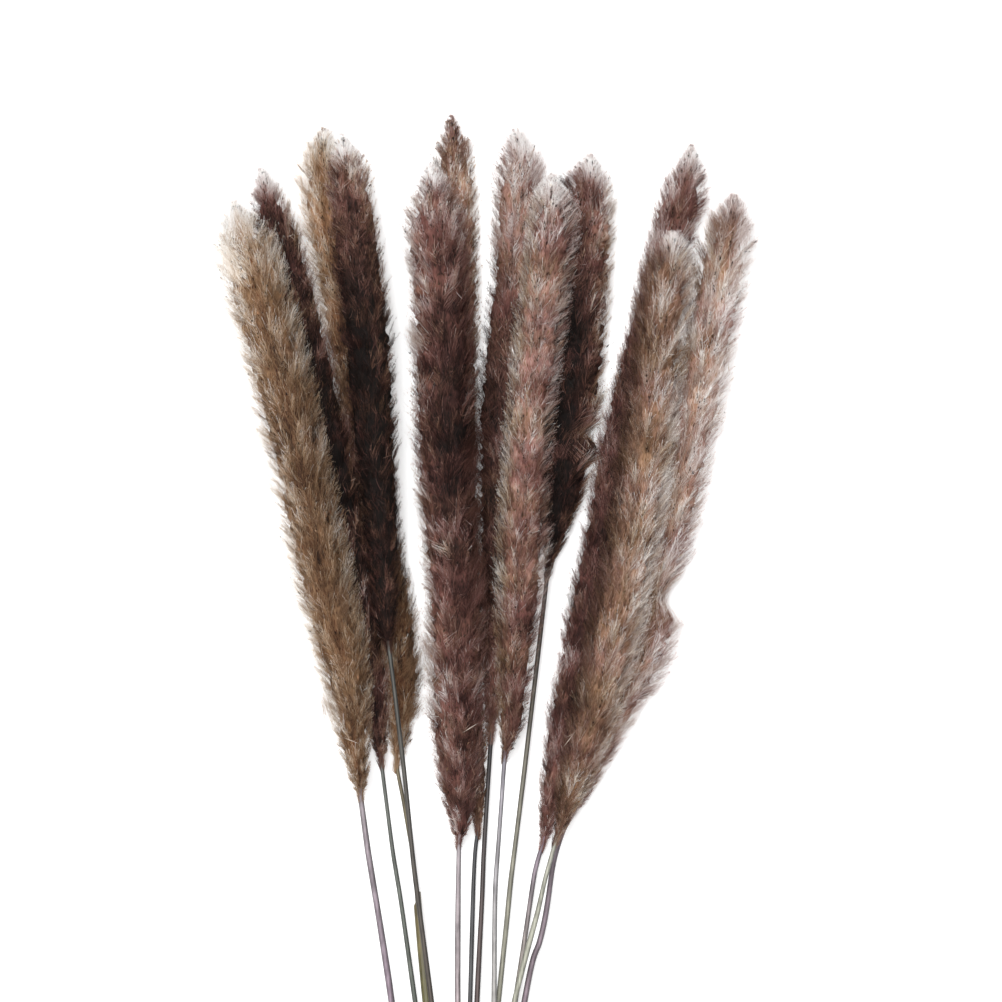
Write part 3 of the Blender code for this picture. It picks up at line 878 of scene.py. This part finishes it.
def pelt_material(name):
    """Matted hair under the free hairs: fine streaks, tufts and small husks over its tone, darkened by
    painted shade, and its hue.
    """
    made, tree, shader = new_material(name, PELT_SURFACE)
    looks = add_node(tree, "Attribute", {}, attribute_name="looks")
    tone, hue = parts_of(tree, looks.outputs["Color"])
    where = add_node(tree, "UVMap", {}, uv_map="wrap").outputs["UV"]
    streaks = pelt_noise(tree, where, 4 * MM, 0.35 * MM, 3.0)
    tufts = pelt_noise(tree, where, 9 * MM, 3 * MM, 2.0)
    husks = pelt_noise(tree, where, 2.2 * MM, 1.0 * MM, 0.0)
    for change in ((streaks, 0.25, 0.75, -0.16, 0.14), (tufts, 0.3, 0.7, -0.09, 0.07),
                   (husks, 0.62, 0.72, 0.0, -0.16)):
        tone = worked_out(tree, "ADD", tone, ranged(tree, *change))
    hue = worked_out(tree, "ADD", hue, ranged(tree, husks, 0.6, 0.7, 0.0, 0.3))
    tree.links.new(blended(tree, tone, hue), shader.inputs["Base Color"])
    add_bump(tree, shader, streaks, 0.6, 0.5 * MM)
    return made


def build_pelt(number, plume, shading, chance, material):
    """The matted body of a plume, a closed skin somewhat inside its reach; gives its number of triangles."""
    place = np.linspace(0.0, plume.length - 3 * MM, PELT_RINGS)
    to_base = np.minimum(place / PELT_ROUND_BASE, 1)
    to_tip = np.minimum((plume.length - 2 * MM - place) / (1.6 * BODY_POINT), 1)
    radius = plume.reach(place) * (PELT_REACH - shading.look["fuzz"]) * np.sqrt(to_base) * to_tip
    angle = np.linspace(-0.5 * math.pi, 1.5 * math.pi, PELT_COLUMNS, endpoint=False)
    uneven = 1 - PELT_UNEVENNESS * chance.random((PELT_RINGS, PELT_COLUMNS))
    spots = np.empty((PELT_RINGS, PELT_COLUMNS, 3))
    spots[..., 0] = place[:, None]
    spots[..., 1] = radius[:, None] * np.cos(angle) * uneven
    spots[..., 2] = radius[:, None] * np.sin(angle) * FLATNESS * uneven
    places = plume.world(spots).reshape(-1, 3)
    faces = [tuple(range(PELT_COLUMNS))[::-1], tuple(range(len(places) - PELT_COLUMNS, len(places)))]
    wraps = [(0.0, 0.0)] * (2 * PELT_COLUMNS)
    widest = 2 * math.pi * radius.max() / PELT_COLUMNS
    for ring in range(PELT_RINGS - 1):
        low, high = ring * PELT_COLUMNS, (ring + 1) * PELT_COLUMNS
        for k in range(PELT_COLUMNS):
            after = (k + 1) % PELT_COLUMNS
            faces.append((low + k, low + after, high + after, high + k))
            wraps += [(place[ring], k * widest), (place[ring], (k + 1) * widest),
                      (place[ring + 1], (k + 1) * widest), (place[ring + 1], k * widest)]
    mesh = bpy.data.meshes.new("pelt_" + number)
    mesh.from_pydata([tuple(corner) for corner in places], [], faces)
    mesh.uv_layers.new(name="wrap").data.foreach_set("uv", np.array(wraps, dtype=np.float32).ravel())
    looks = np.ones((len(places), 4), dtype=np.float32)
    # The pelt's tone is the hair's, less a painted shade, as if shadowed by the hair over it
    looks[:, 0] = np.clip(shading.light(spots) - PELT_PAINTED_SHADE, 0, 1).ravel()
    looks[:, 1] = np.clip(shading.hue(spots), 0, 1).ravel()
    looks[:, 2] = 0.0
    mesh.color_attributes.new("looks", "FLOAT_COLOR", "POINT").data.foreach_set("color", looks.ravel())
    for face in mesh.polygons:
        face.use_smooth = True
    place_piece("pelt_" + number, mesh, material, "plume_" + number)
    return 2 * PELT_RINGS * PELT_COLUMNS


def add_object(name, data):
    made = bpy.data.objects.new(name, data)
    bpy.context.scene.collection.objects.link(made)
    return made


def place_piece(name, mesh, material, node):
    made = add_object(name, mesh)
    mesh.materials.append(material)
    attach(made, BODY)
    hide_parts(node)


def build_plume(number, plume, materials, triangles):
    look = PLUMES[number]
    chance = np.random.default_rng(int(number))
    hair, pelt = materials
    branches = Branches(plume, look, chance)
    shading = Shading(plume, look, chance)
    left = triangles - build_pelt(number, plume, shading, chance, pelt)
    strands = Strands()
    add_husks(plume, branches, shading, strands, chance, int(triangles * look["husks"]))
    add_seeds(plume, branches, strands, chance)
    add_strays(plume, branches, shading, strands, chance)
    add_base_hairs(shading, strands, chance)
    add_haze(plume, shading, strands, chance, int(HAZE["count"] * look["tip"]))
    add_tufts(plume, shading, strands, chance, TUFTS.get(number, []))
    add_twigs(plume, strands, chance, TWIGS.get(number, []))
    left -= strands.triangles()
    in_halo = int(left * (HALO_SHARE + HALO_SHARE_OF_FUZZ * look["fuzz"]))
    add_hairs(plume, branches, shading, strands, chance, left - in_halo, BODY_HAIRS)
    add_hairs(plume, branches, shading, strands, chance, in_halo, HALO_HAIRS)
    place_piece("hair_" + number, strands.mesh("hair_" + number), hair, "plume_" + number)


def stalk_material(name, colours, low_y, high_y):
    """Dry grass stalk with streaks, spots and ribs, with painted light left of its middle and painted shade
    at its right.
    """
    made, tree, shader = new_material(name, {})
    link = tree.links.new
    where = tree.nodes.new("ShaderNodeTexCoord").outputs["Object"]
    near_plume, near_cut = colours
    along = ranged(tree, parts_of(tree, where)[1], low_y, high_y, 0.0, 1.0)
    base = mix_colours(tree, along, linear(near_cut), linear(near_plume))
    streaks = noise(tree, where, (1.0, 0.03, 1.0), 1400.0, 4.0, 0.5)
    spots = noise(tree, where, None, 120.0, 5.0, 0.5)
    uneven = worked_out(tree, "MULTIPLY", ranged(tree, streaks, 0.3, 0.7, 0.6, 1.3),
                        ranged(tree, spots, 0.35, 0.65, 0.75, 1.15))
    # Painted light left of the stalk's middle and painted shade at its right, from the sides attribute
    sides = add_node(tree, "Attribute", {}, attribute_name="sides").outputs["Fac"]
    painted_light_left = ranged(tree, sides, -1.0, -0.3, 0.6, 1.15)
    painted_shade_right = ranged(tree, sides, 0.1, 0.9, 0.0, -0.8)
    streaks_and_painted_light = worked_out(tree, "MULTIPLY", uneven, worked_out(tree, "ADD", painted_light_left, painted_shade_right))
    tint = add_node(tree, "VectorMath", {0: base, "Scale": streaks_and_painted_light}, operation="SCALE")
    link(tint.outputs["Vector"], shader.inputs["Base Color"])
    link(ranged(tree, spots, 0.0, 1.0, 0.38, 0.68), shader.inputs["Roughness"])
    add_bump(tree, shader, streaks, 0.5, 0.15 * MM)
    return made


def stem_rings(number):
    """The centres and radii of a packed stem, from its cut end to its plume."""
    corners = node_corners("stem_" + number)
    corners = corners[corners[:, 1].argsort()]
    axis = unit(corners[-1] - corners[0])
    place = corners @ axis
    order = place.argsort()
    corners = corners[order]
    breaks = np.flatnonzero(np.diff(place[order]) > RING_GAP) + 1
    centres = []
    radii = []
    for ring in np.split(corners, breaks):
        centre = ring.mean(0)
        centres.append(centre)
        radii.append(np.linalg.norm(ring - centre, axis=1).max())
    return np.array(centres), np.array(radii)


def smooth_line(points, step):
    """Points and the places they come from, evenly stepped along a smooth curve through other points."""
    before = np.concatenate([points[:1] * 2 - points[1:2], points, points[-1:] * 2 - points[-2:-1]])
    gaps = np.linalg.norm(np.diff(points, axis=0), axis=1)
    places = []
    results = []
    for index, gap in enumerate(gaps):
        a, b, c, d = before[index:index + 4]
        pieces = max(1, round(gap / step))
        for k in range(pieces):
            f = k / pieces
            bend = (2 * a - 5 * b + 4 * c - d) * f * f + (3 * b - a - 3 * c + d) * f ** 3
            results.append(0.5 * (2 * b + (c - a) * f + bend))
            places.append(index + f)
    results.append(points[-1])
    places.append(len(gaps))
    return np.array(results), np.array(places)


def build_stalk(number, plume):
    """The whole stalk of a reed, from its cut end through the plume nearly to the tip."""
    chance = np.random.default_rng(STALK_CHANCE + int(number))
    centres, radii = stem_rings(number)
    inside = np.linspace(*INSIDE_PLUME, INSIDE_POINTS) * plume.length
    centres = np.concatenate([centres, plume.along(plume.centres, inside)])
    thinning = np.interp(inside, (0, plume.length), (radii[-1] * 0.9, THINNEST))
    radii = np.concatenate([radii, np.minimum(thinning, plume.reach(inside) * 0.7)])
    line, places = smooth_line(centres, STALK_STEP)
    widths = np.interp(places, np.arange(len(radii)), radii)
    travel = np.concatenate([[0], np.cumsum(np.linalg.norm(np.diff(line, axis=0), axis=1))])
    joint = chance.uniform(*JOINT_PLACES) * MM
    widths = widths * (1 + JOINT_THICKER * np.exp(-((travel - joint) / JOINT_LENGTH) ** 2))
    widths = widths * (1 + 0.03 * np.sin(travel / (9 * MM) + chance.uniform(0, 6)))
    ahead = unit(np.gradient(line, axis=0))
    side = unit(np.cross(ahead, (0, 0, 1)))
    up = np.cross(side, ahead)
    turns = np.linspace(0, 2 * math.pi, STALK_SIDES, endpoint=False)[None, :, None]
    out = side[:, None] * np.cos(turns) + up[:, None] * np.sin(turns)
    rings = line[:, None] + widths[:, None, None] * out
    rings[..., 2] = np.maximum(rings[..., 2], 0.0)
    faces = [tuple(range(STALK_SIDES))]
    for ring in range(len(line) - 1):
        start = ring * STALK_SIDES
        for k in range(STALK_SIDES):
            after = (k + 1) % STALK_SIDES
            faces.append((start + k, start + STALK_SIDES + k, start + STALK_SIDES + after, start + after))
    mesh = bpy.data.meshes.new("stalk_" + number)
    mesh.from_pydata([tuple(corner) for corner in rings.reshape(-1, 3)], [], faces)
    # Where each corner sits round the stalk, for its painted light at the left and painted shade at the right
    sideways = np.tile(np.cos(turns.ravel()), len(line)).astype(np.float32)
    mesh.attributes.new("sides", "FLOAT", "POINT").data.foreach_set("value", sideways)
    for face in mesh.polygons:
        face.use_smooth = len(face.vertices) == 4
    low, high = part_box("stem_" + number)
    material = stalk_material("stalk_" + number, STEMS[number], low.y, high.y)
    place_piece("stalk_" + number, mesh, material, "stem_" + number)


def build_reeds():
    plumes = {number: Plume(number) for number in PLUMES}
    whole = sum(plume.size() for plume in plumes.values())
    materials = (hair_material("reed_hair"), pelt_material("reed_pelt"))
    for number, plume in plumes.items():
        build_plume(number, plume, materials, int(TRIANGLES_IN_ALL * plume.size() / whole))
        build_stalk(number, plume)
    low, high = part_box("sheath_03")
    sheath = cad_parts["sheath_03"]
    sheath.material_slots[0].material = stalk_material("sheath_look", SHEATH_COLOURS, low.y, high.y)


def build_floor():
    mesh = bpy.data.meshes.new("floor")
    corners = [(x * FLOOR_HALF, y * FLOOR_HALF, 0) for x, y in ((-1, -1), (1, -1), (1, 1), (-1, 1))]
    mesh.from_pydata(corners, [], [(0, 1, 2, 3)])
    floor = add_object("floor", mesh)
    mesh.materials.append(new_material("floor", FLOOR_SURFACE)[0])


def add_lamp():
    lamp = bpy.data.lights.new("key", "AREA")
    lamp.energy = KEY_ENERGY
    lamp.size = KEY_SIZE
    made = add_object("key", lamp)
    middle = Vector((PHOTO_MIDDLE_X, PHOTO_MIDDLE_Y, 0.0))
    made.location = middle + Vector(KEY_PLACE)
    toward = middle - made.location
    made.rotation_mode = "QUATERNION"
    made.rotation_quaternion = toward.to_track_quat("-Z", "Y")


def build_light():
    world = bpy.data.worlds.new("studio")
    world.use_nodes = True
    background = world.node_tree.nodes["Background"]
    background.inputs["Color"].default_value = WHITE
    background.inputs["Strength"].default_value = SKY_STRENGTH
    bpy.context.scene.world = world
    add_lamp()
    bpy.context.scene.view_settings.view_transform = "Standard"


def build_camera():
    lens = bpy.data.cameras.new("camera")
    lens.lens = LENS_MM
    lens.sensor_width = SENSOR_MM
    lens.clip_end = CLIP_END
    made = add_object("camera", lens)
    distance = PHOTO_PIXELS * PIXEL * LENS_MM / SENSOR_MM
    made.location = (PHOTO_MIDDLE_X, PHOTO_MIDDLE_Y, AIM_HEIGHT + distance)
    bpy.context.scene.camera = made


build_camera()
build_floor()
build_light()
build_reeds()
